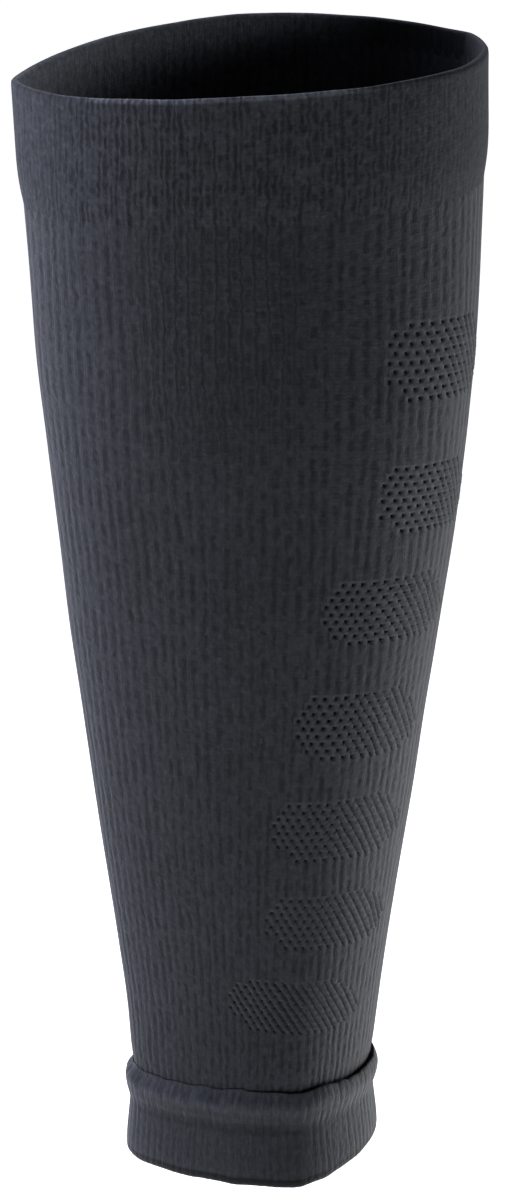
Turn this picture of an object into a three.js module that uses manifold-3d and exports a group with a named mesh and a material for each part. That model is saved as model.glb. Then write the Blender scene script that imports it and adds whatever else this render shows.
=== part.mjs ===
// A seamless knitted compression sleeve, open at both ends, in the form it has when worn.
// Millimetres, +Z up. The origin is the centre of the ankle opening, in the plane of the hem.
// X runs along the long axis of the mouth, and the front of the sleeve faces -Y.
//
// Every horizontal section is a smooth closed curve given by its support function, the distance
// from the section's centre to its tangent line, for the direction of the outward normal:
//   p(angle) = radius + oval cos 2a + corner cos 4a + egg sin 3a
// The girth of such a section is exactly 2 pi radius, and a wall of even thickness is made by
// changing the radius alone.

import * as THREE from 'three';
import { mergeVertices } from 'three/addons/utils/BufferGeometryUtils.js';
import Module from 'manifold-3d';

// ---- driving dimensions ---------------------------------------------------------------------
const SLEEVE_HEIGHT = 315.0;   // origin to mouth
const BODY_WALL = 1.2;         // single ribbed knit
const VENT_WALL = 1.0;         // open eyelet knit
const VENT_RECESS = 0.1;       // the mesh lies a little below the ribs around it
const BAND_WALL = 1.0;         // outer layer of the turned welt
const BAND_HEIGHT = 37.5;
const BAND_TAPER = 8;          // the band's lower edge thins out over this height
const GAP = 0.3;               // clearance between pieces
const HEM = -1.55;             // level of the hem's lower edge at the sides
const HEM_FOLD = 2.1;          // level of the top of the fold under the tube's lower edge
const RIM_FOLD = 1.3;          // height of the fold over the tube's upper edge
const CUFF_HEIGHT = 23.4;
const RIBS = 96;               // ribs around the sleeve, the same count from hem to mouth
const COLUMNS = 54;            // facets around a section
const CUT_DEPTH = 3;           // how far a window cutter reaches past the wall on each side

// One row for each section of the tube's outer face.
//   z       height of the section            radius  girth / 2 pi
//   oval    half of width minus depth        corner  how far the section is a rounded diamond
//   egg     front fuller than the back       shift   sideways place of the centre
//   tilt    rise of the +X end               lift    rise of the front
//   saddle  rise of front and back against the two ends
const SECTIONS = [
  { z:   0, radius: 33.60, oval: -1.00, corner:  1.80, egg: 0.10, shift: -1.30, tilt:  0.6, lift: -1.4, saddle: 0.4 },
  { z:  14, radius: 33.20, oval: -0.60, corner:  1.75, egg: 0.15, shift: -1.25, tilt: -0.2, lift:  0.7, saddle: 0.1 },
  { z:  23, radius: 33.50, oval: -0.30, corner:  1.72, egg: 0.20, shift: -1.00, tilt: -1.1, lift:  2.1, saddle: 0.0 },
  { z:  28, radius: 34.10, oval: -0.10, corner:  1.70, egg: 0.24, shift: -0.85, tilt: -1.0, lift:  1.9, saddle: 0.0 },
  { z:  40, radius: 34.95, oval:  0.42, corner:  1.62, egg: 0.31, shift: -0.53, tilt: -0.5, lift:  0.9, saddle: 0.0 },
  { z:  60, radius: 37.00, oval:  1.27, corner:  1.47, egg: 0.48, shift: -0.28, tilt:  0.0, lift:  0.0, saddle: 0.0 },
  { z:  90, radius: 40.50, oval:  2.54, corner:  1.25, egg: 0.76, shift:  0.14, tilt:  0.0, lift:  0.0, saddle: 0.0 },
  { z: 120, radius: 43.95, oval:  3.81, corner:  1.04, egg: 1.08, shift:  0.80, tilt:  0.0, lift:  0.0, saddle: 0.0 },
  { z: 150, radius: 47.20, oval:  5.08, corner:  0.83, egg: 1.42, shift:  1.43, tilt:  0.0, lift:  0.0, saddle: 0.0 },
  { z: 180, radius: 50.25, oval:  6.35, corner:  0.64, egg: 1.77, shift:  2.12, tilt:  0.0, lift:  0.0, saddle: 0.0 },
  { z: 210, radius: 52.90, oval:  7.62, corner:  0.46, egg: 2.13, shift:  2.66, tilt:  0.0, lift:  0.0, saddle: 0.0 },
  { z: 240, radius: 54.50, oval:  8.89, corner:  0.30, egg: 2.51, shift:  2.68, tilt:  0.2, lift:  0.0, saddle: 0.4 },
  { z: 270, radius: 55.15, oval: 10.00, corner:  0.12, egg: 3.00, shift:  2.56, tilt:  0.5, lift:  0.0, saddle: 1.2 },
  { z: 290, radius: 55.55, oval: 10.60, corner:  0.00, egg: 3.60, shift:  2.52, tilt:  0.7, lift: -0.3, saddle: 2.0 },
  { z: 316, radius: 55.90, oval: 11.27, corner: -0.21, egg: 4.28, shift:  2.38, tilt:  1.0, lift: -0.7, saddle: 3.0 },
];

// One row for each mesh panel, from the mouth down. left and right count ribs from the middle
// of the front towards +X. slope is the fall from the left end to the right end.
const VENTS = [
  { name: 'mesh_vent_1', z: 233.8, height: 23.4, left:  5.2, right: 23.2, slope:  9.5 },
  { name: 'mesh_vent_2', z: 194.6, height: 20.3, left:  4.9, right: 22.6, slope: 10.0 },
  { name: 'mesh_vent_3', z: 165.5, height: 19.2, left:  0.3, right: 17.8, slope:  7.2 },
  { name: 'mesh_vent_4', z: 133.2, height: 19.9, left: -1.8, right: 15.2, slope:  6.0 },
  { name: 'mesh_vent_5', z: 102.8, height: 18.6, left: -3.6, right: 14.8, slope:  4.8 },
  { name: 'mesh_vent_6', z:  75.1, height: 16.4, left: -4.2, right: 14.3, slope:  5.0 },
  { name: 'mesh_vent_7', z:  50.2, height: 16.8, left: -8.4, right:  9.9, slope:  4.6 },
];

// The outline of a panel: across is the place between its left and right ends, and top and
// bottom are its edges as shares of half the height. The left end is cut off blunt, and the
// right end runs out in a longer point.
const VENT_OUTLINE = [
  { across: 0.00, top:  0.40, bottom: -0.40 },
  { across: 0.06, top:  0.75, bottom: -0.62 },
  { across: 0.10, top:  0.97, bottom: -0.85 },
  { across: 0.14, top:  1.00, bottom: -1.00 },
  { across: 0.38, top:  1.00, bottom: -1.00 },
  { across: 0.62, top:  1.00, bottom: -1.00 },
  { across: 0.72, top:  0.95, bottom: -1.00 },
  { across: 0.80, top:  0.72, bottom: -0.93 },
  { across: 0.90, top:  0.42, bottom: -0.72 },
  { across: 1.00, top: -0.10, bottom: -0.42 },
];

// Heights of the rings of facets on the tube's two faces.
const OUTER_RINGS = [14, 24, 29, 36, 60, 90, 120, 150, 180, 210, 240, 270];
const INNER_RINGS = [24, 36, 90, 150, 210, 260];

const DARK_KNIT = new THREE.MeshStandardMaterial({ color: 0x2b2c31, roughness: 0.92, metalness: 0 });
const BAND_KNIT = new THREE.MeshStandardMaterial({ color: 0x2d2e33, roughness: 0.92, metalness: 0 });
const CUFF_KNIT = new THREE.MeshStandardMaterial({ color: 0x2f3035, roughness: 0.92, metalness: 0 });
const MESH_KNIT = new THREE.MeshStandardMaterial({ color: 0x35363a, roughness: 0.95, metalness: 0 });

// ---- the form -------------------------------------------------------------------------------

// Smooth interpolation of one column of SECTIONS that never overshoots its rows.
function column(key) {
  const z = SECTIONS.map((s) => s.z), v = SECTIONS.map((s) => s[key]), n = z.length;
  const d = v.slice(1).map((w, i) => (w - v[i]) / (z[i + 1] - z[i]));
  const m = v.map((_, i) => {
    if (i === 0) return d[0];
    if (i === n - 1) return d[n - 2];
    if (d[i - 1] * d[i] <= 0) return 0;
    const a = z[i] - z[i - 1], b = z[i + 1] - z[i], p = 2 * b + a, q = b + 2 * a;
    return (p + q) / (p / d[i - 1] + q / d[i]);
  });
  return (h) => {
    let i = 0;
    while (i < n - 2 && h > z[i + 1]) i++;
    const w = z[i + 1] - z[i], t = (h - z[i]) / w, u = t * t, c = u * t;
    return v[i] * (2 * c - 3 * u + 1) + m[i] * w * (c - 2 * u + t)
      + v[i + 1] * (3 * u - 2 * c) + m[i + 1] * w * (c - u);
  };
}
const FORM = Object.fromEntries(Object.keys(SECTIONS[0]).filter((k) => k !== 'z').map((k) => [k, column(k)]));
const section = (z) => Object.fromEntries(Object.entries(FORM).map(([k, f]) => [k, f(z)]));

// Share of the girth from the middle of the front to the point whose normal has this angle.
function girthShare(s, a) {
  const arc = s.radius * a - 1.5 * s.oval * Math.sin(2 * a) - 3.75 * s.corner * Math.sin(4 * a)
    + (8 / 3) * s.egg * Math.cos(3 * a);
  return arc / (2 * Math.PI * s.radius) + 0.25;
}

// The normal's angle at which a rising function of it has the given value.
function solveAngle(f, value) {
  let lo = -2.5 * Math.PI, hi = 2.5 * Math.PI;
  for (let i = 0; i < 60; i++) {
    const mid = (lo + hi) / 2;
    if (f(mid) < value) lo = mid; else hi = mid;
  }
  return (lo + hi) / 2;
}
const ribAngle = (z, rib) => { const s = section(z); return solveAngle((a) => girthShare(s, a), rib / RIBS); };
// Facet edges are spread half by length and half by turn, so the tight ends stay round.
const facetAngle = (z, k) => {
  const s = section(z);
  return solveAngle((a) => 0.5 * girthShare(s, a) + 0.5 * (a / (2 * Math.PI) + 0.25), k / COLUMNS);
};

// A point of the sleeve: height, normal's angle, and distance outward from the tube's outer face.
function point(z, a, out) {
  const s = section(z);
  const p = s.radius + s.oval * Math.cos(2 * a) + s.corner * Math.cos(4 * a) + s.egg * Math.sin(3 * a);
  const q = -2 * s.oval * Math.sin(2 * a) - 4 * s.corner * Math.sin(4 * a) + 3 * s.egg * Math.cos(3 * a);
  const c = Math.cos(a), n = Math.sin(a);
  const x = p * c - q * n, y = p * n + q * c;
  const side = x / (s.radius + s.oval + s.corner);
  const front = Math.max(0, -y / (s.radius - s.oval + s.corner + s.egg));
  const rise = s.tilt * side + s.lift * front * front + s.saddle * (1 - 2 * side * side);
  return [x + out * c + s.shift, y + out * n, z + rise];
}

// ---- solids ---------------------------------------------------------------------------------

const wasm = await Module();
wasm.setup();

function geometry(points, triangles) {
  const g = new THREE.BufferGeometry();
  g.setAttribute('position', new THREE.Float32BufferAttribute(points.flat(), 3));
  g.setIndex(triangles.flat());
  return g;
}
function toSolid(g) {
  const m = mergeVertices(g, 1e-5);
  return new wasm.Manifold(new wasm.Mesh({
    numProp: 3,
    vertProperties: new Float32Array(m.attributes.position.array),
    triVerts: new Uint32Array(m.index.array),
  }));
}
function toGeometry(solid) {
  const m = solid.getMesh();
  const g = new THREE.BufferGeometry();
  g.setAttribute('position', new THREE.Float32BufferAttribute(Array.from(m.vertProperties), 3));
  g.setIndex(Array.from(m.triVerts));
  return g;
}

// A closed profile, up its outer face and down its inner one, carried round the sleeve.
function ring(profile) {
  const points = [], triangles = [], rows = profile.length;
  for (let k = 0; k < COLUMNS; k++) for (const { z, out } of profile) points.push(point(z, facetAngle(z, k), out));
  const at = (k, i) => (k % COLUMNS) * rows + (i % rows);
  for (let k = 0; k < COLUMNS; k++) for (let i = 0; i < rows; i++) {
    triangles.push([at(k, i), at(k + 1, i), at(k + 1, i + 1)], [at(k, i), at(k + 1, i + 1), at(k, i + 1)]);
  }
  return geometry(points, triangles);
}

// A block through the wall with a panel's outline, made smaller all round by a margin.
function ventBlock(vent, margin) {
  const points = [], triangles = [], last = VENT_OUTLINE.length - 1;
  const ribWidth = 2 * Math.PI * FORM.radius(vent.z) / RIBS;
  const left = vent.left + margin / ribWidth, right = vent.right - margin / ribWidth;
  for (const { across, top, bottom } of VENT_OUTLINE) {
    const rib = left + (right - left) * across;
    const middle = vent.z - vent.slope * (across - 0.5);
    for (const [share, side] of [[bottom, -1], [top, 1]]) {
      const z = middle + share * vent.height / 2 - side * margin;
      const a = ribAngle(z, rib);
      points.push(point(z, a, CUT_DEPTH), point(z, a, -BODY_WALL - CUT_DEPTH));
    }
  }
  const [OB, IB, OT, IT] = [0, 1, 2, 3];
  const at = (j, corner) => 4 * j + corner;
  const quad = (a, b, c, d) => triangles.push([a, b, c], [a, c, d]);
  for (let j = 0; j < last; j++) {
    quad(at(j, OB), at(j + 1, OB), at(j + 1, OT), at(j, OT));
    quad(at(j, IT), at(j + 1, IT), at(j + 1, IB), at(j, IB));
    quad(at(j, OT), at(j + 1, OT), at(j + 1, IT), at(j, IT));
    quad(at(j, IB), at(j + 1, IB), at(j + 1, OB), at(j, OB));
  }
  quad(at(0, OB), at(0, OT), at(0, IT), at(0, IB));
  quad(at(last, OB), at(last, IB), at(last, IT), at(last, OT));
  return geometry(points, triangles);
}

// ---- profiles -------------------------------------------------------------------------------

const bodyFoot = HEM_FOLD + GAP, bodyHead = SLEEVE_HEIGHT - RIM_FOLD - GAP;
const bodyProfile = [
  ...[bodyFoot, ...OUTER_RINGS, bodyHead].map((z) => ({ z, out: 0 })),
  ...[bodyHead, ...INNER_RINGS.slice().reverse(), bodyFoot].map((z) => ({ z, out: -BODY_WALL })),
];

const meshRings = OUTER_RINGS.filter((z) => z > 30 && z < 280);
const meshProfile = [
  ...meshRings.map((z) => ({ z, out: -VENT_RECESS })),
  ...meshRings.slice().reverse().map((z) => ({ z, out: -VENT_RECESS - VENT_WALL })),
];

const bandFoot = SLEEVE_HEIGHT - BAND_HEIGHT, bandOut = GAP + BAND_WALL;
const bandProfile = [
  { z: bandFoot, out: GAP + 0.4 * BAND_WALL },
  { z: bandFoot + 0.4 * BAND_TAPER, out: GAP + 0.75 * BAND_WALL },
  { z: bandFoot + BAND_TAPER, out: bandOut },
  { z: SLEEVE_HEIGHT - 1.7, out: bandOut },
  { z: SLEEVE_HEIGHT - 0.5, out: 0.70 * bandOut },
  { z: SLEEVE_HEIGHT, out: 0.05 * bandOut },
  { z: SLEEVE_HEIGHT - 0.2, out: -0.6 * BODY_WALL },
  { z: SLEEVE_HEIGHT - 0.7, out: -BODY_WALL },
  { z: SLEEVE_HEIGHT - RIM_FOLD, out: -BODY_WALL },
  { z: SLEEVE_HEIGHT - RIM_FOLD, out: GAP },
  { z: bandFoot + 0.5 * BAND_HEIGHT, out: GAP },
  { z: bandFoot, out: GAP },
];

const cuffProfile = [
  { z: HEM, out: 1.4 },
  { z: HEM + 0.5, out: 2.2 },
  { z: HEM + 2.0, out: 2.6 },
  { z: 8.0, out: 2.25 },
  { z: 13.0, out: 1.7 },
  { z: 15.5, out: 2.1 },
  { z: 18.4, out: 2.65 },
  { z: 20.8, out: 2.5 },
  { z: 22.6, out: 1.9 },
  { z: CUFF_HEIGHT, out: 1.2 },
  { z: 22.8, out: 0.6 },
  { z: 21.4, out: GAP },
  { z: HEM_FOLD, out: GAP },
  { z: HEM_FOLD, out: -BODY_WALL },
  { z: HEM + 0.8, out: -BODY_WALL },
  { z: HEM, out: -0.4 },
];

// ---- the sleeve -----------------------------------------------------------------------------

const group = new THREE.Group();
function piece(name, g, material) {
  g.computeVertexNormals();
  const mesh = new THREE.Mesh(g, material);
  mesh.name = name;
  group.add(mesh);
}

const meshTube = toSolid(ring(meshProfile));
let body = toSolid(ring(bodyProfile));
for (const vent of VENTS) body = body.subtract(toSolid(ventBlock(vent, 0)));

piece('sleeve_body', toGeometry(body), DARK_KNIT);
piece('top_band', ring(bandProfile), BAND_KNIT);
piece('ankle_cuff', ring(cuffProfile), CUFF_KNIT);
for (const vent of VENTS) {
  piece(vent.name, toGeometry(meshTube.intersect(toSolid(ventBlock(vent, GAP)))), MESH_KNIT);
}

export default group;
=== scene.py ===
"""The looks of a knitted compression sleeve: a ribbed tube with eyelet-mesh vents, a turned band at
the mouth and a turned-up cuff at the ankle. Every piece is built here as a fine closed mesh on the
same sections as the solids it stands for. Lengths in the tables are millimetres, and meshes are in
metres. A place on the cloth is given by its rib (0 at the middle of the front, 96 round the tube)
and by its course, the height at which that row of stitches crosses the middle of the front."""

import math

import bpy
import numpy as np
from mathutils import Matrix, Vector


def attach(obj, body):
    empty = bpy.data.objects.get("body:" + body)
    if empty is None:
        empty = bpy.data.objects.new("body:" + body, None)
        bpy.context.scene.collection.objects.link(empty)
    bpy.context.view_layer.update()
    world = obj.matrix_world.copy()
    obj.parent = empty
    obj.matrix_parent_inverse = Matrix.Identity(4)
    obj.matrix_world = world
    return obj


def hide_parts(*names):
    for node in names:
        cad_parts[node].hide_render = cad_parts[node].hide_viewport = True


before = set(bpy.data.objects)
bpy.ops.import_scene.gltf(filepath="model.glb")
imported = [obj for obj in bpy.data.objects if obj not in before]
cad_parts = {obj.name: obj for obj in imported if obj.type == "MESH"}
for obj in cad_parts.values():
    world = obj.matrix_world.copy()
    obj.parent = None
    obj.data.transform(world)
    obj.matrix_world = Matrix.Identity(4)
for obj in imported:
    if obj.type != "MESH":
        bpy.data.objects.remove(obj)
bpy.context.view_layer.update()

# ---- sizes ----------------------------------------------------------------------------------
HEIGHT = 315.0
RIBS = 96
WALL = 1.2
BAND_OUT = 1.2
CUFF_TOP, HEM = 23.4, -1.55

SECTION_COLUMNS = ("z", "radius", "oval", "corner", "egg", "shift", "tilt", "lift", "saddle")
SECTIONS = [
    (0, 33.60, -1.00, 1.80, 0.10, -1.30, 0.6, -1.4, 0.4),
    (14, 33.20, -0.60, 1.75, 0.15, -1.25, -0.2, 0.7, 0.1),
    (23, 33.50, -0.30, 1.72, 0.20, -1.00, -1.1, 2.1, 0.0),
    (28, 34.10, -0.10, 1.70, 0.24, -0.85, -1.0, 1.9, 0.0),
    (40, 34.95, 0.42, 1.62, 0.31, -0.53, -0.5, 0.9, 0.0),
    (60, 37.00, 1.27, 1.47, 0.48, -0.28, 0.0, 0.0, 0.0),
    (90, 40.50, 2.54, 1.25, 0.76, 0.14, 0.0, 0.0, 0.0),
    (120, 43.95, 3.81, 1.04, 1.08, 0.80, 0.0, 0.0, 0.0),
    (150, 47.20, 5.08, 0.83, 1.42, 1.43, 0.0, 0.0, 0.0),
    (180, 50.25, 6.35, 0.64, 1.77, 2.12, 0.0, 0.0, 0.0),
    (210, 52.90, 7.62, 0.46, 2.13, 2.66, 0.0, 0.0, 0.0),
    (240, 54.50, 8.89, 0.30, 2.51, 2.68, 0.2, 0.0, 0.4),
    (270, 55.15, 10.00, 0.12, 3.00, 2.56, 0.5, 0.0, 1.2),
    (290, 55.55, 10.60, 0.00, 3.60, 2.52, 0.7, -0.3, 2.0),
    (316, 55.90, 11.27, -0.21, 4.28, 2.38, 1.0, -0.7, 3.0),
]

# name, height of the middle, height, left and right end in ribs of even width, fall to the right, rows of eyelets,
# how far the eyelets are open
VENT_COLUMNS = ("name", "z", "height", "left", "right", "slope", "rows", "open")
VENTS = [
    ("mesh_vent_1", 233.8, 23.4, 5.2, 23.2, 9.5, 9, 0.95),
    ("mesh_vent_2", 194.6, 20.3, 4.9, 22.6, 10.0, 9, 0.95),
    ("mesh_vent_3", 165.5, 19.2, 0.3, 17.8, 7.2, 9, 0.88),
    ("mesh_vent_4", 133.2, 19.9, -1.8, 15.2, 6.0, 9, 0.86),
    ("mesh_vent_5", 102.8, 18.6, -3.6, 14.8, 4.8, 9, 0.66),
    ("mesh_vent_6", 75.1, 16.4, -4.2, 14.3, 5.0, 8, 0.58),
    ("mesh_vent_7", 50.2, 16.8, -8.4, 9.9, 4.6, 9, 0.58),
]
VENTS = [dict(zip(VENT_COLUMNS, v)) for v in VENTS]
VENT_OUTLINE = np.array([  # across, top, bottom, as shares
    (0.00, 0.40, -0.40), (0.06, 0.75, -0.62), (0.10, 0.97, -0.85), (0.14, 1.00, -1.00), (0.62, 1.00, -1.00),
    (0.72, 0.95, -1.00), (0.80, 0.72, -0.93), (0.90, 0.42, -0.72), (1.00, -0.10, -0.42),
])

# ---- the form -------------------------------------------------------------------------------


def smooth_column(z, v):
    """Interpolation through the rows that never overshoots them."""
    z, v = np.asarray(z, float), np.asarray(v, float)
    w, d = np.diff(z), np.diff(v) / np.diff(z)
    m = np.zeros(len(z))
    m[0], m[-1] = d[0], d[-1]
    p, q = 2 * w[1:] + w[:-1], w[1:] + 2 * w[:-1]
    same = d[:-1] * d[1:] > 0
    safe0, safe1 = np.where(same, d[:-1], 1.0), np.where(same, d[1:], 1.0)
    m[1:-1] = np.where(same, (p + q) / (p / safe0 + q / safe1), 0.0)

    def at(h):
        i = np.clip(np.searchsorted(z, h) - 1, 0, len(z) - 2)
        t = (h - z[i]) / w[i]
        u = t * t
        c = u * t
        return (v[i] * (2 * c - 3 * u + 1) + m[i] * w[i] * (c - 2 * u + t)
                + v[i + 1] * (3 * u - 2 * c) + m[i + 1] * w[i] * (c - u))

    return at


FORM = {k: smooth_column([s[0] for s in SECTIONS], [s[i] for s in SECTIONS])
        for i, k in enumerate(SECTION_COLUMNS) if i}


def smoothstep(a, b, x):
    t = np.clip((x - a) / (b - a), 0, 1)
    return t * t * (3 - 2 * t)


def noise(x, y, period, seed):
    """Smooth values from -1 to 1 on a lattice that repeats after period steps of x."""
    table = np.random.default_rng(seed).uniform(-1, 1, (period, 512))
    x, y = np.broadcast_arrays(x, y)
    i, j = np.floor(x).astype(int), np.floor(y).astype(int)
    s, t = x - i, y - j
    s, t = s * s * (3 - 2 * s), t * t * (3 - 2 * t)
    i0, i1, j0, j1 = i % period, (i + 1) % period, j % 512, (j + 1) % 512
    return ((table[i0, j0] * (1 - s) + table[i1, j0] * s) * (1 - t)
            + (table[i0, j1] * (1 - s) + table[i1, j1] * s) * t)


VENT_ORDER = sorted(VENTS, key=lambda v: v["z"])


def course_height(course, rib):
    """Height of a course at a rib: beside the vents the courses fall a little towards +X."""
    zs = [v["z"] + e * v["height"] / 2 for v in VENT_ORDER for e in (-1, 1)]
    twice = lambda key: [v[key] for v in VENT_ORDER for _ in (0, 1)]
    left, right = np.interp(course, zs, twice("left")), np.interp(course, zs, twice("right"))
    fall = np.interp(course, [26, *zs, 272], [0, *twice("slope"), 0])
    half = (right - left) / 2
    d = (rib - (left + right) / 2 + RIBS / 2) % RIBS - RIBS / 2
    return course - fall * d / (2 * half) * (1 - smoothstep(11, 38, np.abs(d)))


SPREAD_COLUMNS = ("rib", "width")
SPREAD = np.array([  # width of a rib against the mean: the knit is stretched most on the +X side
    (-48, 0.88), (-40, 0.88), (-28, 1.00), (-20, 1.04), (-14, 1.00), (-8, 0.97), (-3, 0.96), (1, 1.00), (7, 1.27),
    (15, 1.27), (21, 0.88), (48, 0.88),
])
SPREAD_RIB = np.linspace(-RIBS / 2, RIBS / 2, 769)
SPREAD_SUM = np.concatenate([[0], np.cumsum(np.interp((SPREAD_RIB[1:] + SPREAD_RIB[:-1]) / 2, SPREAD[:, 0], SPREAD[:, 1]))])
SPREAD_SUM = SPREAD_SUM / SPREAD_SUM[-1] * RIBS
SPREAD_SUM -= np.interp(0, SPREAD_RIB, SPREAD_SUM)


def even_rib(rib):
    """Where a rib lies round the tube, counted in ribs of even width."""
    turns = np.floor((np.asarray(rib, float) + RIBS / 2) / RIBS) * RIBS
    return np.interp(rib - turns, SPREAD_RIB, SPREAD_SUM) + turns


def drift(rib, course):
    """How far a rib strays sideways, in ribs."""
    return 0.17 * noise(rib / 4, course / 34, 24, 11) + 0.10 * noise(rib, course / 13, 96, 12)


def slack(rib, course):
    """Slow unevenness of the whole cloth, in millimetres."""
    return (0.22 * noise(rib / 8, course / 26, 12, 21) + 0.10 * noise(rib / 3, course / 60, 32, 22))


def place(course, rib, out):
    """Points of the sleeve in metres; out is measured from the tube's outer face."""
    course, rib, out = np.broadcast_arrays(*(np.asarray(x, float) for x in (course, rib, out)))
    z = course_height(course, even_rib(rib))
    out = out + slack(rib, course)
    share = even_rib(rib + drift(rib, course)) / RIBS
    s = {k: f(z) for k, f in FORM.items()}
    lo, hi = np.full(z.shape, -2.5 * math.pi), np.full(z.shape, 2.5 * math.pi)
    for _ in range(42):
        a = (lo + hi) / 2
        arc = (s["radius"] * a - 1.5 * s["oval"] * np.sin(2 * a) - 3.75 * s["corner"] * np.sin(4 * a)
               + 8 / 3 * s["egg"] * np.cos(3 * a))
        low = arc / (2 * math.pi * s["radius"]) + 0.25 < share
        lo, hi = np.where(low, a, lo), np.where(low, hi, a)
    a = (lo + hi) / 2
    p = (s["radius"] + s["oval"] * np.cos(2 * a) + s["corner"] * np.cos(4 * a) + s["egg"] * np.sin(3 * a))
    q = (-2 * s["oval"] * np.sin(2 * a) - 4 * s["corner"] * np.sin(4 * a) + 3 * s["egg"] * np.cos(3 * a))
    c, n = np.cos(a), np.sin(a)
    x, y = p * c - q * n, p * n + q * c
    side = x / (s["radius"] + s["oval"] + s["corner"])
    front = np.clip(-y / (s["radius"] - s["oval"] + s["corner"] + s["egg"]), 0, None)
    rise = s["tilt"] * side + s["lift"] * front ** 2 + s["saddle"] * (1 - 2 * side ** 2)
    return np.stack([x + out * c + s["shift"], y + out * n, z + rise], -1) * 0.001


def round_the_tube(rib, middle):
    """How many ribs a rib is from another, the short way round."""
    return np.abs((rib - middle + RIBS / 2) % RIBS - RIBS / 2)


def rib_relief(rib, course):
    """Height of the ribbed face over the tube's outer face: narrow grooves between broad ribs."""
    f = rib - np.floor(rib)
    d = np.minimum(f, 1 - f)
    pitch = 2 * math.pi * FORM["radius"](course) / RIBS
    flatter = 1 - 0.40 * (1 - smoothstep(4, 9, round_the_tube(rib, 14))) - 0.50 * (1 - smoothstep(7, 13, round_the_tube(rib, -23)))
    depth = 0.036 * pitch * flatter * (1 + 0.8 * noise(rib, course / 9, 96, 31))
    shown = smoothstep(20, 24, course) * (1 - smoothstep(279, 284, course))
    return shown * (0.14 + depth * (0.40 - np.exp(-((d / 0.24) ** 2)))) - 0.12 * (1 - shown)


def inner_relief(rib, course):
    return -WALL - 0.10 * np.cos(2 * math.pi * rib)


def mesh_relief(rib, row, across):
    """Height of the mesh: channels that run down to the right through the eyelets, deepest at the right end."""
    d = rib + 0.5 * row - 0.25
    return (0.42 + 0.58 * smoothstep(0.15, 0.5, across)) * (0.30 - 0.75 * np.exp(-(((d - np.round(d)) / 0.23) ** 2)))


# ---- meshes ---------------------------------------------------------------------------------


class Cloth:
    """Collects points and faces, with two maps: Knit in ribs and millimetres, and OFBake from 0 to 1."""

    def __init__(self):
        self.points, self.faces, self.knit, self.bake, self.count = [], [], [], [], 0

    def add(self, points):
        points = np.asarray(points).reshape(-1, 3)
        self.points.append(points)
        self.count += len(points)
        return self.count - len(points)

    def face(self, corners, knit, bake):
        self.faces.append(list(corners))
        self.knit.append(np.asarray(knit, float).reshape(-1, 2))
        self.bake.append(np.asarray(bake, float).reshape(-1, 2))

    def quads(self, corners, knit, bake):
        self.faces.extend(np.asarray(corners).reshape(-1, 4).tolist())
        self.knit.append(np.asarray(knit, float).reshape(-1, 2))
        self.bake.append(np.asarray(bake, float).reshape(-1, 2))

    def object(self, name, material):
        me = bpy.data.meshes.new(name)
        sizes = np.array([len(f) for f in self.faces])
        loops = np.fromiter((i for f in self.faces for i in f), np.int32, sizes.sum())
        me.vertices.add(self.count)
        me.vertices.foreach_set("co", np.concatenate(self.points).astype(np.float32).ravel())
        me.loops.add(len(loops))
        me.loops.foreach_set("vertex_index", loops)
        me.polygons.add(len(sizes))
        me.polygons.foreach_set("loop_start", np.concatenate([[0], np.cumsum(sizes)[:-1]]).astype(np.int32))
        me.polygons.foreach_set("loop_total", sizes.astype(np.int32))
        me.polygons.foreach_set("use_smooth", np.ones(len(sizes), bool))
        me.update(calc_edges=True)
        for layer, values in (("Knit", self.knit), ("OFBake", self.bake)):
            uv = me.uv_layers.new(name=layer)
            uv.data.foreach_set("uv", np.concatenate(values).astype(np.float32).ravel())
        me.uv_layers["Knit"].active = True
        me.uv_layers["Knit"].active_render = True
        me.set_sharp_from_angle(angle=math.radians(72))
        me.validate()
        me.materials.append(material)
        ob = bpy.data.objects.new(name, me)
        bpy.context.scene.collection.objects.link(ob)
        return ob


FRACTIONS = np.array([0.0, 0.12, 0.30, 0.50, 0.70, 0.88])   # where the faces of a rib meet
PER_RIB, HALF = len(FRACTIONS), len(FRACTIONS) // 2
COLUMN = (np.arange(RIBS)[:, None] + FRACTIONS).ravel() - RIBS / 2
N_COL, N_SLOT = len(COLUMN), 2 * RIBS
SLOT = np.arange(N_SLOT) * 0.5 - RIBS / 2


def column_rib(k):
    """Rib of a column, going on past the seam at the back."""
    k = np.asarray(k)
    return COLUMN[k % N_COL] + RIBS * (k // N_COL)


def vent_cells(vent):
    """(row, first half-rib slot) of every eyelet of a vent; each row is half a rib past the last."""
    cells = []
    for j in range(vent["rows"]):
        f = (j + 0.5) / vent["rows"] * 2 - 1
        for i in range(RIBS):
            s = 2 * i + (j + 1) % 2
            t = (even_rib(SLOT[0] + 0.5 * (s + 1)) - vent["left"]) / (vent["right"] - vent["left"])
            if 0 <= t <= 1:
                top, bottom = (np.interp(t, VENT_OUTLINE[:, 0], VENT_OUTLINE[:, c]) for c in (1, 2))
                if bottom <= f <= top:
                    cells.append((j, s))
    return cells


def vent_lines(vent):
    return vent["z"] - vent["height"] / 2 + vent["height"] / vent["rows"] * np.arange(vent["rows"] + 1)


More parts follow.
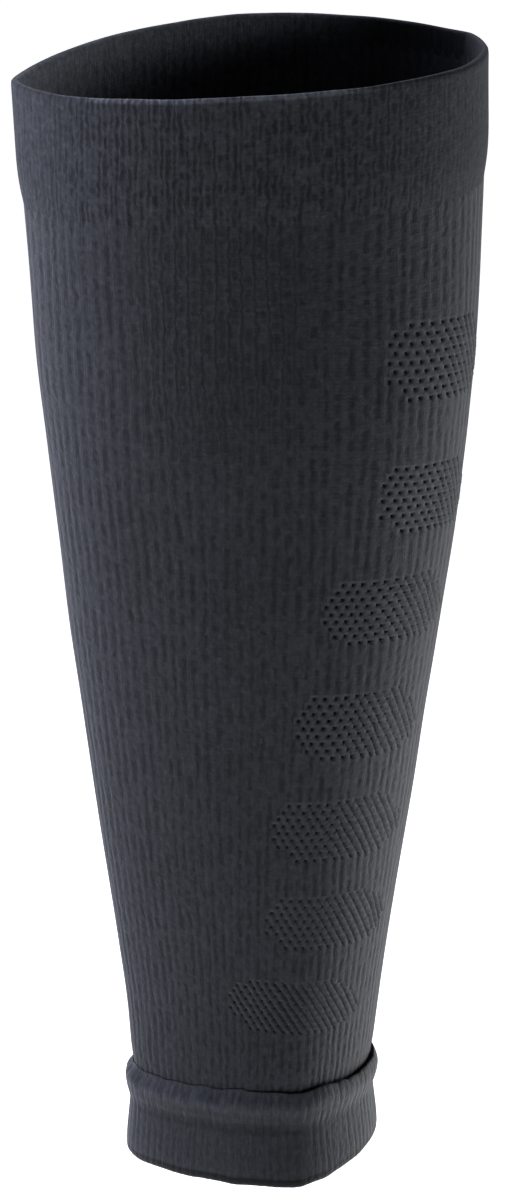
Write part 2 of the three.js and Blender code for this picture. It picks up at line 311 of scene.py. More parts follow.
def make_body(material):
    lines, start = [2.4, 9.0, 16.0, 20.0, 22.0, 23.5, 25.0, 26.5, 28.5, 31.0, 34.0], {}
    for vent in VENT_ORDER:
        own = vent_lines(vent)
        gap = own[0] - lines[-1]
        n = max(1, round(gap / 3.3))
        lines += [lines[-1] + gap * (i + 1) / n for i in range(n - 1)]
        start[vent["name"]] = len(lines)
        lines += list(own)
    gap = 273.0 - lines[-1]
    n = round(gap / 3.6)
    lines += [lines[-1] + gap * (i + 1) / n for i in range(n)] + [275.0, 277.0, 279.0, 281.0, 282.5, 284.5, 298.0, HEIGHT - 3.4]
    lines = np.array(lines)
    n_row = len(lines)
    open_slot = np.zeros((n_row - 1, N_SLOT), bool)
    for vent in VENTS:
        for j, s in vent_cells(vent):
            open_slot[start[vent["name"]] + j, [s, s + 1]] = True

    m = Cloth()
    z, w = lines[:, None], COLUMN[None, :]
    outer = m.add(place(z, w, rib_relief(w, z)))
    w2 = SLOT[None, :]
    inner = m.add(place(z, w2, inner_relief(w2, z)))

    def out_id(i, k):
        return outer + i * N_COL + np.asarray(k) % N_COL

    def in_id(i, s):
        return inner + i * N_SLOT + np.asarray(s) % N_SLOT

    i, k = np.nonzero(~np.repeat(open_slot, HALF, 1))
    a, b = column_rib(k), column_rib(k + 1)
    za, zb = lines[i], lines[i + 1]
    knit = np.stack([np.stack([a, za], -1), np.stack([b, za], -1), np.stack([b, zb], -1), np.stack([a, zb], -1)], 1)
    bake = knit * [1 / RIBS, 0.72 / (HEIGHT + 5)] + [0.5, 0.01]
    m.quads(np.stack([out_id(i, k), out_id(i, k + 1), out_id(i + 1, k + 1), out_id(i + 1, k)], -1), knit, bake)

    i, s = np.nonzero(~open_slot)
    a, b = SLOT[s], SLOT[s] + 0.5
    za, zb = lines[i], lines[i + 1]
    knit = np.stack([np.stack([b, za], -1), np.stack([a, za], -1), np.stack([a, zb], -1), np.stack([b, zb], -1)], 1)
    bake = knit * [1 / RIBS, 0.23 / (HEIGHT + 5)] + [0.5, 0.75]
    m.quads(np.stack([in_id(i, s + 1), in_id(i, s), in_id(i + 1, s), in_id(i + 1, s + 1)], -1), knit, bake)

    def wall_across(i, s, up):
        """The cloth's edge along a course, over one half-rib; up where the cloth lies below it."""
        ks = HALF * s + np.arange(HALF + 1)
        corners = [*out_id(i, ks), in_id(i, s + 1), in_id(i, s)]
        knit = [(r, lines[i]) for r in column_rib(ks)] + [(SLOT[s] + 0.5, lines[i] + WALL), (SLOT[s], lines[i] + WALL)]
        corners, knit = (corners, knit) if up else (corners[::-1], knit[::-1])
        m.face([int(c) for c in corners], knit, np.array(knit) * [1 / RIBS, 0.001] + [0.5, 0.985 - 0.001 * lines[i]])

    def wall_along(i, s, right):
        """The cloth's edge along a rib, over one row; right where the cloth lies on the -X side."""
        corners = [out_id(i, HALF * s), in_id(i, s), in_id(i + 1, s), out_id(i + 1, HALF * s)]
        rib = SLOT[s % N_SLOT]
        knit = [(rib, lines[i]), (rib + 0.3, lines[i]), (rib + 0.3, lines[i + 1]), (rib, lines[i + 1])]
        corners, knit = (corners, knit) if right else (corners[::-1], knit[::-1])
        m.face([int(c) for c in corners], knit, np.array(knit) * [0.002, 0.0001] + [0.5, 0.99])

    for i in range(n_row - 1):
        for s in range(N_SLOT):
            if open_slot[i, s]:
                if not open_slot[i - 1, s]:
                    wall_across(i, s, True)
                if not open_slot[i + 1, s]:
                    wall_across(i + 1, s, False)
                if not open_slot[i, s - 1]:
                    wall_along(i, s, True)
                if not open_slot[i, (s + 1) % N_SLOT]:
                    wall_along(i, s + 1, False)
    for s in range(N_SLOT):
        wall_across(0, s, False)
        wall_across(n_row - 1, s, True)
    return m.object("sleeve_body_knit", material)


def make_vent(vent, material, seed):
    """Every eyelet is a dimple with a rounded hole through its own cell of the knit. Along the height, the
    Knit map of a vent counts two to a row of eyelets."""
    cells, lines = vent_cells(vent), vent_lines(vent)
    step, rng = lines[1] - lines[0], np.random.default_rng(seed)
    turn = np.radians([*(-150 + 20 * np.arange(7)), 0, *(30 + 20 * np.arange(7)), 180])
    m, border, faces = Cloth(), {}, []
    rib, course, out, flat = [], [], [], []      # of every point, and its place on the bake map

    def point(r, c, o, layer, br=None, bc=None):
        rib.append(r), course.append(c), out.append(o)
        flat.append((r if br is None else br, c if bc is None else bc, layer))
        return len(rib) - 1

    def row_of(c):
        return (c - lines[0]) / step

    def across_of(r):
        return (even_rib(r) - vent["left"]) / (vent["right"] - vent["left"])

    loops, edges = [], {}
    for j, s in cells:
        ks = HALF * s + np.arange(PER_RIB + 1)
        loop = [(int(k), 2 * j) for k in ks] + [(int(ks[-1]), 2 * j + 1)] + [(int(k), 2 * j + 2) for k in ks[::-1]] + [(int(ks[0]), 2 * j + 1)]
        loops.append(loop)
        for a in range(16):
            pair = (loop[a], loop[(a + 1) % 16])
            if (pair[1], pair[0]) in edges:
                del edges[(pair[1], pair[0])]
            else:
                edges[pair] = True
    outline = {key for pair in edges for key in pair}

    for (j, s), loop in zip(cells, loops):
        mid_r = float(column_rib(HALF * s)) + 0.5
        mid_c = (lines[j] + lines[j + 1]) / 2
        for key in loop:
            if key not in border:
                r = float(column_rib(key[0]))
                c = lines[0] + step * key[1] / 2
                o = float(rib_relief(r, c)) if key in outline else 0.1 + float(mesh_relief(r, key[1] / 2, across_of(r)))
                border[key] = (point(r, c, o, 0), point(r, c, float(inner_relief(r, c)), 1))
        open_by = vent["open"] * (1 - 0.55 * float(smoothstep(0.38, 0.75, across_of(mid_r))))
        size = 0.104 * open_by * (1 + 0.16 * rng.uniform(-1, 1))
        tall = 0.140 * open_by * step * (1 + 0.14 * rng.uniform(-1, 1))
        mid_r += 0.05 * rng.uniform(-1, 1)
        mid_c += 0.06 * step * rng.uniform(-1, 1)
        rings = [[border[key][0] for key in loop]]
        edge = [(rib[border[key][0]], course[border[key][0]]) for key in loop]
        holes = [(math.cos(t), math.sin(t)) for t in turn]
        for grow, o, shown in ((2.0, 0.06, 1.7), (1.45, -0.18, 1.3), (1.0, -0.42 * WALL, 0.8)):
            ring = []
            for (er, ec), (cx, cy) in zip(edge, holes):
                hr, hc = mid_r + size * grow * cx, mid_c + tall * grow * cy
                if grow == 2.0:
                    hr, hc = 0.70 * hr + 0.30 * er, 0.70 * hc + 0.30 * ec
                    ring.append(point(hr, hc, o + 0.6 * float(mesh_relief(hr, row_of(hc), across_of(hr))), 0))
                else:
                    ring.append(point(hr, hc, o, 0, mid_r + size * shown * cx, mid_c + tall * shown * cy))
            rings.append(ring)
        for grow, o, shown in ((1.0, -0.74 * WALL, 0.75), (1.25, -0.98 * WALL, 1.15)):
            rings.append([point(mid_r + size * grow * cx, mid_c + tall * grow * cy, o, 1,
                                mid_r + size * shown * cx, mid_c + tall * shown * cy) for cx, cy in holes])
        rings.append([border[key][1] for key in loop])
        for one, two in zip(rings[:-1], rings[1:]):
            for a in range(16):
                b = (a + 1) % 16
                faces.append((one[a], one[b], two[b], two[a]))
    for one, two in edges:
        faces.append((border[two][0], border[one][0], border[one][1], border[two][1]))

    rib, course, flat = np.array(rib), np.array(course), np.array(flat)
    m.add(place(course, rib, np.array(out)))
    lo, hi = flat.min(0), flat.max(0)
    spot = np.stack([0.02 + 0.96 * (flat[:, 0] - lo[0]) / (hi[0] - lo[0]),
                     0.02 + 0.46 * (flat[:, 1] - lo[1]) / (hi[1] - lo[1]) + 0.5 * flat[:, 2]], -1)
    layer = flat[:, 2]
    faces = np.array(faces)
    corner = spot[faces]
    mixed = layer[faces].min(1) != layer[faces].max(1)
    shift = np.where(mixed[:, None] & (layer[faces] == 1), 0.5, 0.0)
    corner[..., 1] -= shift            # a face between the two layers stays with the outer one
    m.quads(faces, np.stack([rib[faces], 2 * row_of(course[faces])], -1), corner)
    return m.object(vent["name"] + "_knit", material)


def smooth_profile(rows, closed_steps):
    """A closed curve through the rows (course, out), with so many steps between each two."""
    p = np.array(rows, float)
    n, curve = len(p), []
    for i in range(n):
        a, b, c, d = p[i - 1], p[i], p[(i + 1) % n], p[(i + 2) % n]
        for t in np.arange(closed_steps[i]) / closed_steps[i]:
            curve.append(0.5 * (2 * b + (c - a) * t + (2 * a - 5 * b + 4 * c - d) * t * t + (3 * b - a - 3 * c + d) * t ** 3))
    return np.array(curve)


def carry_round(name, profile, columns, relief, material, start=0.0):
    """A closed profile, up its outer face and down its inner one, carried round the sleeve."""
    m, rows, n = Cloth(), len(profile), len(columns)
    c, o = profile[:, 0][None, :], profile[:, 1][None, :]
    w = columns[:, None]
    c2, o2 = relief(w, c, o)
    m.add(place(c2, w, o2))
    wide = np.append(columns, columns[0] + RIBS)
    run = run_along(profile)
    k, i = (x.ravel() for x in np.meshgrid(np.arange(n), np.arange(rows), indexing="ij"))
    at = lambda k, i: (k % n) * rows + i % rows
    knit = np.stack([np.stack([wide[k], run[i]], -1), np.stack([wide[k + 1], run[i]], -1),
                     np.stack([wide[k + 1], run[i + 1]], -1), np.stack([wide[k], run[i + 1]], -1)], 1)
    bake = knit * [1 / RIBS, 0.98 / run[-1]] + [0.5, 0.01]
    m.quads(np.stack([at(k, i), at(k + 1, i), at(k + 1, i + 1), at(k, i + 1)], -1), knit + [0, start], bake)
    return m.object(name, material)


BAND_START = 276.6      # the course at which the band leaves the tube


def band_profile():
    up = [(BAND_START, -0.02), (278.2, 0.12), (280.2, 0.33), (282.6, 0.64), (285.6, 0.94), (289.0, 1.12), (293.0, BAND_OUT), (299.0, BAND_OUT),
          (305.0, BAND_OUT), (HEIGHT - 5.5, BAND_OUT), (HEIGHT - 2.6, BAND_OUT), (HEIGHT - 1.5, 1.18)]
    rim = [(HEIGHT - 1.15 + 1.15 * math.sin(t), 1.17 * math.cos(t)) for t in np.radians([22, 45, 68, 90, 112, 135, 158])]
    down = [(HEIGHT - 1.5, -1.26), (HEIGHT - 3.0, -1.34), (HEIGHT - 5.5, -1.34), (HEIGHT - 8.0, -1.20), (HEIGHT - 5.5, -1.02), (HEIGHT - 3.2, -0.9), (HEIGHT - 3.1, -0.2),
            (HEIGHT - 5.0, -0.05), (300.0, -0.06), (287.0, -0.02), (281.5, 0.04), (278.0, -0.06)]
    return smooth_profile(up + rim + down, [1, 2, 2, 2, 2, 2, 2, 2, 2, 2, 2, 1] + [1] * len(rim) + [1] * len(down))


def run_along(profile):
    """Length along a closed profile, from its first point."""
    return np.concatenate([[0], np.cumsum(np.hypot(*np.diff(np.vstack([profile, profile[:1]]), axis=0).T))])


def make_band(material):
    fine = (np.arange(2 * RIBS)[:, None] * 0.5 + np.array([0, 0.11, 0.25, 0.39])).ravel() - RIBS / 2
    profile = band_profile()

    def relief(w, c, o):
        f = 2 * w - np.floor(2 * w)
        d = np.minimum(f, 1 - f)
        groove = np.exp(-((d / 0.22) ** 2))
        shown = smoothstep(0.05, 0.4, o) * (1 - 0.6 * smoothstep(HEIGHT - 2.5, HEIGHT - 0.4, c))
        depth = 0.080 * (1 + 0.9 * noise(2 * w, c / 7, 192, 41)) * (1 - 0.65 * smoothstep(9, 19, round_the_tube(w, -6)))
        wave = 0.25 * noise(w / 3, c * 0 + 3, 32, 42) * smoothstep(305, HEIGHT, c)
        proud = 0.5 + 0.5 * smoothstep(8, 22, round_the_tube(w, -6))     # it stands out least in front
        return c + wave, np.where(o > 0, o * proud, o) + shown * depth * (0.3 - groove)

    return carry_round("top_band_knit", profile, fine, relief, material, BAND_START)


def cuff_profile():
    rows = [(HEM + 0.05, 1.0), (HEM + 0.25, 1.9), (HEM + 1.0, 2.50), (HEM + 2.4, 2.68), (4.5, 2.54), (8.0, 2.20), (11.2, 1.88), (13.4, 1.70),
            (14.9, 1.90), (16.4, 2.34), (18.4, 2.66), (20.4, 2.62), (22.0, 2.18), (CUFF_TOP, 1.40), (23.1, 0.74), (21.9, 0.42), (19.0, 0.32),
            (8.0, 0.30), (2.6, 0.22), (2.05, -0.3), (1.95, -1.05), (HEM + 1.6, -1.28), (HEM + 0.45, -0.85), (HEM - 0.02, 0.1)]
    return smooth_profile(rows, [2, 2, 2, 3, 3, 3, 3, 2, 2, 3, 3, 3, 3, 3, 2, 1, 1, 1, 1, 1, 1, 1, 1, 1])


def make_cuff(material):
    profile = cuff_profile()

    def relief(w, c, o):
        f = w - np.floor(w)
        d = np.minimum(f, 1 - f)
        groove = np.exp(-((d / 0.19) ** 2))
        shown = smoothstep(0.9, 1.7, o)
        depth = 0.075 * (1 + 0.9 * noise(w, c / 6, 96, 51))
        lift = 0.45 * noise(w / 2, c * 0 + 7, 48, 52) + 0.25 * noise(w, c * 0 + 5, 96, 53)
        roll = smoothstep(15, 20, c)
        near = round_the_tube(w, 10.5)
        stand = 0.15 * roll * shown * np.exp(-(((w - 7.5) / 10) ** 2))
        lip = 0.12 * noise(w, c / 5, 96, 54) * roll * shown
        lie = 0.88 * smoothstep(5, 20, near) * smoothstep(19.5, 23, c)      # away from there its edge lies down
        o2 = np.where(o > 0.3, 0.3 + (o - 0.3) * (1 - lie), o)
        hem = 0.2 * noise(w / 2, c * 0 + 2, 48, 55) * (1 - smoothstep(2, 8, c))
        return c + lift * roll + hem, o2 + shown * depth * (0.3 - groove) + stand + lip

    return carry_round("ankle_cuff_knit", profile, COLUMN, relief, material)


# ---- materials ------------------------------------------------------------------------------


class Nodes:
    """Short ways to write a node tree."""

    def __init__(self, name):
        self.material = bpy.data.materials.new(name)
        self.material.use_nodes = True
        self.tree = self.material.node_tree
        self.tree.nodes.clear()

    def new(self, kind, **values):
        n = self.tree.nodes.new(kind)
        for k, v in values.items():
            setattr(n, k, v)
        return n

    def put(self, socket, value):
        if isinstance(value, bpy.types.NodeSocket):
            self.tree.links.new(value, socket)
        else:
            socket.default_value = value

    def math(self, operation, a, b=None, c=None, clamp=False):
        n = self.new("ShaderNodeMath", operation=operation, use_clamp=clamp)
        for i, v in enumerate((a, b, c)):
            if v is not None:
                self.put(n.inputs[i], v)
        return n.outputs[0]

    def ramp(self, value, lo, hi, to_lo=0.0, to_hi=1.0, smooth=True):
        n = self.new("ShaderNodeMapRange", interpolation_type="SMOOTHSTEP" if smooth else "LINEAR")
        for i, v in enumerate((value, lo, hi, to_lo, to_hi)):
            self.put(n.inputs[i], v)
        return n.outputs[0]

    def vector(self, x, y, z=0.0):
        n = self.new("ShaderNodeCombineXYZ")
        for i, v in enumerate((x, y, z)):
            self.put(n.inputs[i], v)
        return n.outputs[0]

    def noise(self, vector, scale, detail=2.0, rough=0.5):
        n = self.new("ShaderNodeTexNoise", noise_dimensions="3D")
        self.put(n.inputs["Vector"], vector)
        n.inputs["Scale"].default_value = scale
        n.inputs["Detail"].default_value = detail
        n.inputs["Roughness"].default_value = rough
        return n.outputs["Fac"]

    def mix(self, share, a, b):
        n = self.new("ShaderNodeMix", data_type="RGBA")
        self.put(n.inputs["Factor"], share)
        self.put(n.inputs["A"], a)
        self.put(n.inputs["B"], b)
        return n.outputs["Result"]


def knit_material(name, yarn, deep_shade, rows, groove, streak, course, wales, stitch, sheen, bands=(), mesh=False, gloss=0.28):
    """Charcoal yarn: ribs with broken grooves darkened with painted shade, V stitches in courses with painted
    shade between their legs, and uneven, slightly fuzzy yarn. rows lists the grooves of one rib as (place, half
    width, darkness), and where they change along and round the cloth. Each of bands is a stretch along the cloth
    that is paler, as a painted highlight, or darker, as painted shade: where it starts, is full, still is full
    and ends, how much, and where it changes round the cloth. A change round the cloth is the rib in its middle,
    how many ribs off it starts and ends, and what is left past that. The deep colour is used for the painted shade.
    A mesh has slanting grooves in painted shade, through a dimple darkened with painted shade at every eyelet."""
    t = Nodes(name)
    uv = t.new("ShaderNodeUVMap", uv_map="Knit").outputs[0]
    xyz = t.new("ShaderNodeSeparateXYZ")
    t.put(xyz.inputs[0], uv)
    u, v = xyz.outputs[0], xyz.outputs[1]

    def grain(across, along, seed, detail=2.0, rough=0.55):
        return t.noise(t.vector(t.math("MULTIPLY", u, across), t.math("MULTIPLY", v, along), seed), 1.0, detail, rough)

    # long and short streaks that follow the ribs, blots of about a stitch, pale flecks and fuzz
    long_streak = grain(1.7, 0.145, 0.0, 2.5, 0.6)
    short_streak = grain(2.5, 0.36, 1.0)
    blots = grain(2.3, 0.62, 5.0, 1.0, 0.5)
    flecks = t.ramp(grain(3.0, 0.46, 7.0, 0.5, 0.5), 0.60, 0.76)
    wander = t.math("MULTIPLY", t.math("SUBTRACT", grain(1.3, 0.26, 2.0), 0.5), 0.75)
    where = t.new("ShaderNodeTexCoord").outputs["Object"]
    patch = t.noise(where, 26.0, 2.0, 0.5)
    fuzz = t.noise(where, 2600.0, 2.0, 0.7)

    def round_from(middle, near, far, left):
        return t.ramp(t.math("ABSOLUTE", t.math("SUBTRACT", u, middle)), near, far, 1.0, left)

    # painted shade in the dips between the ribs, each broken into dashes of its own
    line_at = t.math("ADD", u, t.math("MULTIPLY", v, 0.25)) if mesh else t.math("ADD", u, wander)
    dark = None
    for place_of, half, darkness, by_course, by_rib in rows:
        shifted = t.math("ADD", line_at, -place_of)
        number = t.math("FLOOR", t.math("ADD", shifted, 0.5))
        off = t.math("ABSOLUTE", t.math("SUBTRACT", shifted, number))
        line = t.ramp(off, 0.1 * half, half, 1.0, 0.0)
        darkness = t.math("MULTIPLY", darkness, round_from(*by_rib)) if by_rib else darkness
        if by_course:
            darkness = t.math("MULTIPLY", darkness, t.ramp(v, *by_course))
        else:
            dashes = t.noise(t.vector(t.math("MULTIPLY", number, 7.31), t.math("MULTIPLY", v, 0.20), 3.0 * place_of), 1.0, 2.0, 0.6)
            line = t.math("MULTIPLY", line, t.ramp(dashes, 0.38, 0.58, 0.5 if mesh else 0.15, 1.0))
        line = t.math("MULTIPLY", line, t.math("MULTIPLY", darkness, groove))
        dark = line if dark is None else t.math("MAXIMUM", dark, line)
    if mesh:      # painted shade in the slanting grooves and in a dimple at every eyelet; the lower vents are knitted tighter, so their eyelet shade is fainter
        level = t.new("ShaderNodeSeparateXYZ")
        t.put(level.inputs[0], where)
        flat = t.new("ShaderNodeSeparateXYZ")
        t.put(flat.inputs[0], t.new("ShaderNodeUVMap", uv_map="OFBake").outputs[0])
        dark = t.math("MULTIPLY", dark, t.ramp(flat.outputs[0], 0.12, 0.50, 0.42, 1.0))
        slant = t.math("SUBTRACT", line_at, 0.25)
        aside = t.math("SUBTRACT", slant, t.math("FLOOR", t.math("ADD", slant, 0.5)))
        above = t.math("SUBTRACT", t.math("FRACT", t.math("MULTIPLY", v, 0.5)), 0.5)
        aside = t.math("SUBTRACT", aside, t.math("MULTIPLY", above, 0.5))
        far = t.math("SQRT", t.math("ADD", t.math("POWER", t.math("ABSOLUTE", t.math("DIVIDE", aside, 0.46)), 2.0),
                                    t.math("POWER", t.math("ABSOLUTE", t.math("DIVIDE", above, 0.58)), 2.0)))
        eyes = t.math("MULTIPLY", t.ramp(far, 0.22, 1.0, 1.0, 0.0), t.ramp(flat.outputs[0], 0.38, 0.75, 0.88, 0.40))
        eyes = t.math("MULTIPLY", eyes, t.ramp(level.outputs[2], 0.085, 0.150, 0.58, 1.0))
        dark = t.math("MAXIMUM", dark, eyes)

    # V stitches: two legs that lean towards the middle of each wale
    across = t.math("SUBTRACT", t.math("FRACT", t.math("MULTIPLY", u, wales)), 0.5)
    lean = t.math("ABSOLUTE", across)
    along = t.math("FRACT", t.math("ADD", t.math("DIVIDE", v, course), t.math("MULTIPLY", lean, 1.3)))
    leg = t.math("SUBTRACT", 1.0, t.math("ABSOLUTE", t.math("SUBTRACT", t.math("MULTIPLY", along, 2.0), 1.0)))
    leg = t.ramp(leg, 0.05, 0.75)
    split = t.ramp(lean, 0.0, 0.12)
    edge = t.ramp(lean, 0.36, 0.5, 1.0, 0.35)
    loops = t.math("MULTIPLY", t.math("MULTIPLY", leg, split), edge)

    # colour, with the painted shade mixed in
    tone = t.mix(dark, (*yarn, 1), (*deep_shade, 1))
    # painted shade between the legs of the stitches
    between = t.math("MULTIPLY", t.math("SUBTRACT", 1.0, loops), stitch, clamp=True)
    tone = t.mix(between, tone, (*deep_shade, 1))
    value = 1.0
    for change, much in ((short_streak, 2.0 * streak), (long_streak, 2.0 * streak), (blots, 2.4 * streak), (patch, 0.45), (fuzz, 0.10)):
        value = t.math("ADD", value, t.math("MULTIPLY", t.math("SUBTRACT", change, 0.5), much))
    value = t.math("ADD", value, t.math("MULTIPLY", flecks, 0.8 * streak))
    if bands:
        wavy = t.math("ADD", v, t.math("MULTIPLY", t.math("SUBTRACT", t.noise(t.vector(t.math("MULTIPLY", u, 0.3), 0.0, 9.0), 1.0), 0.5), 2.4))
    for begin, full, still, stop, much, *by_rib in bands:
        at = wavy if much < 0 and begin > 0 else v
        fold = t.math("MULTIPLY", t.ramp(at, begin, full), t.ramp(at, still, stop, 1.0, 0.0))
        fold = t.math("MULTIPLY", fold, round_from(*by_rib)) if by_rib else fold
        value = t.math("MULTIPLY", value, t.math("ADD", 1.0, t.math("MULTIPLY", fold, much)))
    if mesh:
        # painted shade: the threads on the left of the lower vents are made darker to tone down their highlight
        lower_vent_shade = t.math("MULTIPLY", t.ramp(level.outputs[2], 0.085, 0.150, 1.0, 0.35), t.ramp(flat.outputs[0], 0.35, 0.65, 0.20, 0.0))
        value = t.math("MULTIPLY", value, t.math("SUBTRACT", 1.0, lower_vent_shade))
    hsv = t.new("ShaderNodeHueSaturation")
    t.put(hsv.inputs["Color"], tone)
    t.put(hsv.inputs["Value"], t.math("MAXIMUM", value, 0.15))

    # relief
    high = t.math("MULTIPLY", loops, 0.15)
    for part, much in ((fuzz, 0.1), (short_streak, 0.6), (blots, 0.6), (dark, -0.8)):
        high = t.math("ADD", high, t.math("MULTIPLY", part, much))
    bump = t.new("ShaderNodeBump")
    bump.inputs["Strength"].default_value = 0.85
    bump.inputs["Distance"].default_value = 0.00027
    t.put(bump.inputs["Height"], high)

    shader = t.new("ShaderNodeBsdfPrincipled")
    t.put(shader.inputs["Base Color"], hsv.outputs[0])
    t.put(shader.inputs["Roughness"], t.ramp(fuzz, 0.3, 0.7, 0.82, 0.95))
    t.put(shader.inputs["Normal"], bump.outputs[0])
    shader.inputs["Specular IOR Level"].default_value = gloss
    shader.inputs["Sheen Weight"].default_value = sheen
    shader.inputs["Sheen Roughness"].default_value = 0.45
    shader.inputs["Sheen Tint"].default_value = (0.90, 0.94, 1.0, 1.0)
    out = t.new("ShaderNodeOutputMaterial")
    t.put(out.inputs["Surface"], shader.outputs[0])
    return t.material


def run_of(profile, course):
    """How far along a profile its outer face passes a course."""
    top = int(np.argmax(profile[:, 0])) + 1
    return float(np.interp(course, profile[:top, 0], run_along(profile)[:top]))


RIM_TOP = BAND_START + run_of(band_profile(), HEIGHT + 1)
CUFF = cuff_profile()
# the second of these colours is that of the painted shade in the grooves, between the stitches and in the eyelets
YARN, DEEP_SHADE = (0.0305, 0.0322, 0.0396), (0.0085, 0.0089, 0.0112)
# finer ribs come in at the front, above the vents, their grooves darkened with painted shade; painted shade darkens the
# top of the tube at its +X end, inside the mouth
FINE = (0.5, 0.26, 0.85, (190.0, 240.0, 0.2, 1.0), (-8.0, 4.0, 9.0, 0.10))
RIB_KNIT = knit_material("rib_knit", YARN, DEEP_SHADE, [(0.0, 0.44, 0.98, None, (5.0, 5.0, 11.0, 0.80)), FINE], 0.85, 0.42, 1.05, 2.0, 0.05, 0.17,
                         bands=[(284.0, 298.0, 400.0, 401.0, -0.75, 25.0, 7.0, 14.0, 0.0)])
BAND_KNIT = knit_material("band_knit", (0.0392, 0.0421, 0.0498), (0.0126, 0.0135, 0.0160), [(0.0, 0.34, 1.00, None, (-6.0, 9.0, 19.0, 0.4)), (0.5, 0.26, 0.90, None, (-6.0, 9.0, 19.0, 0.25))],
                          0.88, 0.40, 1.05, 2.0, 0.05, 0.06, gloss=0.17, bands=[
    # a painted highlight along the rim at the front
    (RIM_TOP - 2.4, RIM_TOP - 0.9, RIM_TOP + 0.5, RIM_TOP + 1.2, 2.8, -8.0, 7.5, 13.5, 0.0),
    # painted shade on the rim at its -X end
    (RIM_TOP - 2.2, RIM_TOP - 0.8, RIM_TOP + 1.0, RIM_TOP + 1.8, -0.25, -22.5, 3.5, 6.0, 0.0),
    # painted shade on the rim at its +X end
    (RIM_TOP - 2.2, RIM_TOP - 0.6, RIM_TOP + 1.0, RIM_TOP + 1.8, -0.35, 20.0, 8.0, 14.0, 0.0),
    # painted shade inside the mouth at its +X end
    (RIM_TOP + 0.2, RIM_TOP + 1.4, RIM_TOP + 11.0, RIM_TOP + 12.0, -0.85, 25.0, 7.0, 14.0, 0.0)])
CUFF_KNIT = knit_material("cuff_knit", (0.0335, 0.0353, 0.0428), DEEP_SHADE, [(0.0, 0.42, 0.80, None, (7.0, 7.0, 14.0, 0.55)), (0.5, 0.22, 0.25, None, None)],
                          0.60, 0.36, 0.90, 2.0, 0.05, 0.22, bands=[
    # a painted highlight on the upper half of the roll
    (run_of(CUFF, 16.6), run_of(CUFF, 18.6), run_of(CUFF, 22.4), run_of(CUFF, 23.4) + 0.6, 0.45),
    # painted shade in the crease under the roll
    (run_of(CUFF, 11.6), run_of(CUFF, 13.2), run_of(CUFF, 14.6), run_of(CUFF, 16.0), -0.36, -12.0, 9.0, 17.0, 0.4),
    # painted shade along the bottom of the hem
    (-2.0, -1.0, 2.9, 4.0, -0.90)])
MESH_KNIT = knit_material("mesh_knit", (0.0440, 0.0460, 0.0535), DEEP_SHADE, [(0.25, 0.40, 1.0, None, None)], 0.84, 0.34, 0.80, 4.0, 0.05, 0.20, mesh=True)

# ---- pieces ---------------------------------------------------------------------------------

body = make_body(RIB_KNIT)
band = make_band(BAND_KNIT)
cuff = make_cuff(CUFF_KNIT)
vents = [make_vent(v, MESH_KNIT, 100 + i) for i, v in enumerate(VENTS)]

for piece, node, slot in [(body, "sleeve_body", "rib_knit"), (band, "top_band", "band_knit"), (cuff, "ankle_cuff", "cuff_knit"),
                          *[(p, v["name"], "mesh_knit") for p, v in zip(vents, VENTS)]]:
    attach(piece, "root")
    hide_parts(node)

# ---- camera ---------------------------------------------------------------------------------

AZIMUTH, ELEVATION, DISTANCE = -20.0, 18.0, 2.0
TARGET = Vector((0.0, 0.0, 0.1597))


def towards(turn, rise):
    """A direction from the sleeve: turn 0 is the camera's side, 90 its right, 180 behind."""
    a, e = math.radians(AZIMUTH + turn), math.radians(rise)
    return Vector((math.sin(a) * math.cos(e), -math.cos(a) * math.cos(e), math.sin(e)))


camera = bpy.data.objects.new("camera", bpy.data.cameras.new("camera"))
bpy.context.scene.collection.objects.link(camera)
back = towards(0, ELEVATION)
camera.location = TARGET + back * DISTANCE
camera.rotation_mode = "QUATERNION"
camera.rotation_quaternion = (-back).to_track_quat("-Z", "Y")
camera.data.sensor_width = 36.0
camera.data.lens = 36.0 * (DISTANCE / 0.00028) / 1200.0
camera.data.clip_start, camera.data.clip_end = 0.05, 60.0
bpy.context.scene.camera = camera

# ---- stage and light ------------------------------------------------------------------------

FLOOR_Z = -0.12
floor_mesh = bpy.data.meshes.new("floor")
edge = 9.0
floor_mesh.from_pydata([(-edge, -edge, FLOOR_Z), (edge, -edge, FLOOR_Z), (edge, edge, FLOOR_Z), (-edge, edge, FLOOR_Z)], [], [(0, 1, 2, 3)])
floor = bpy.data.objects.new("floor", floor_mesh)
bpy.context.scene.collection.objects.link(floor)
t = Nodes("pale_floor")
paint = t.new("ShaderNodeBsdfPrincipled")
paint.inputs["Base Color"].default_value = (0.80, 0.80, 0.80, 1)
paint.inputs["Roughness"].default_value = 0.9
paint.inputs["Specular IOR Level"].default_value = 0.1
paint.inputs["Emission Color"].default_value = (1, 1, 1, 1)
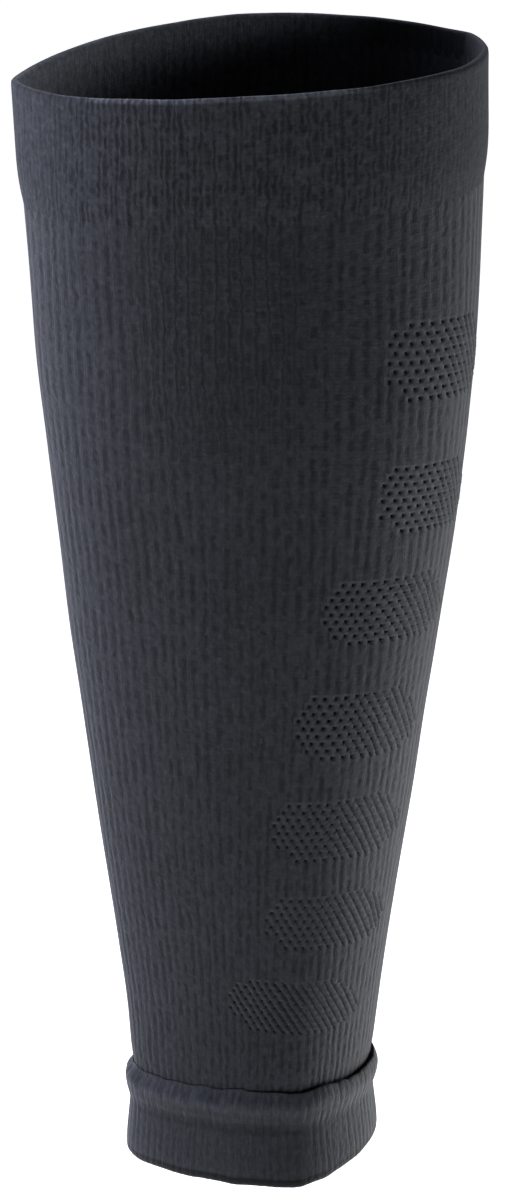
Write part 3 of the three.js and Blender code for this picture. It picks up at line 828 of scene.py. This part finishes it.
# the glow is full behind and around the sleeve and fades out in front of it
near = t.new("ShaderNodeVectorMath", operation="DOT_PRODUCT")
t.put(near.inputs[0], t.new("ShaderNodeTexCoord").outputs["Object"])
near.inputs[1].default_value = (math.sin(math.radians(AZIMUTH)), -math.cos(math.radians(AZIMUTH)), 0)
t.put(paint.inputs["Emission Strength"], t.ramp(near.outputs["Value"], 0.35, 1.1, 1.0, 0.40))
end = t.new("ShaderNodeOutputMaterial")
t.put(end.inputs["Surface"], paint.outputs[0])
floor_mesh.materials.append(t.material)


def soft_light(name, turn, rise, distance, width, height, power, colour, aim=(0, 0, 0.16), spread=180):
    lamp = bpy.data.lights.new(name, "AREA")
    lamp.shape, lamp.size, lamp.size_y = "RECTANGLE", width, height
    lamp.energy, lamp.color, lamp.spread = power, colour, math.radians(spread)
    ob = bpy.data.objects.new(name, lamp)
    bpy.context.scene.collection.objects.link(ob)
    ob.location = Vector(aim) + towards(turn, rise) * distance
    ob.rotation_mode = "QUATERNION"
    ob.rotation_quaternion = towards(turn, rise).to_track_quat("Z", "Y")
    ob.visible_camera = False
    return ob


soft_light("left_side", -110, 34, 0.9, 0.8, 1.2, 10.2, (0.76, 0.79, 1.0), aim=(0, 0, 0.28))
soft_light("left_band", -94, 12, 0.27, 0.16, 0.1, 0.37, (0.80, 0.85, 1.0), aim=(0, 0, 0.300))
soft_light("front_fill", -45, 0, 0.22, 0.1, 0.06, 0.046, (0.92, 0.95, 1.0), aim=(0, 0, 0.268))
soft_light("right_side", 122, -8, 0.33, 0.2, 0.2, 0.76, (1.0, 0.97, 0.93), aim=(0, 0, -0.01))
soft_light("over_rim", -175, 50, 0.6, 0.3, 0.3, 2.3, (0.95, 0.97, 1.0), aim=(-0.02, 0, 0.31))
soft_light("into_mouth", 105, 42, 0.6, 0.04, 0.04, 0.010, (0.95, 0.97, 1.0), aim=(-0.06, 0.005, 0.300), spread=9)
soft_light("along_rim", 80, 8.5, 0.5, 0.12, 0.01, 0.0046, (0.95, 0.97, 1.0), aim=(-0.03, 0.03, 0.316), spread=3.5)

world = bpy.data.worlds.new("studio")
bpy.context.scene.world = world
world.use_nodes = True
sky = world.node_tree.nodes["Background"]
sky.inputs["Color"].default_value = (1, 1, 1, 1)
sky.inputs["Strength"].default_value = 0.02
bpy.context.scene.view_settings.view_transform = "Standard"
bpy.context.scene.view_settings.look = "None"

# ---- end ------------------------------------------------------------------------------------

bpy.context.view_layer.update()
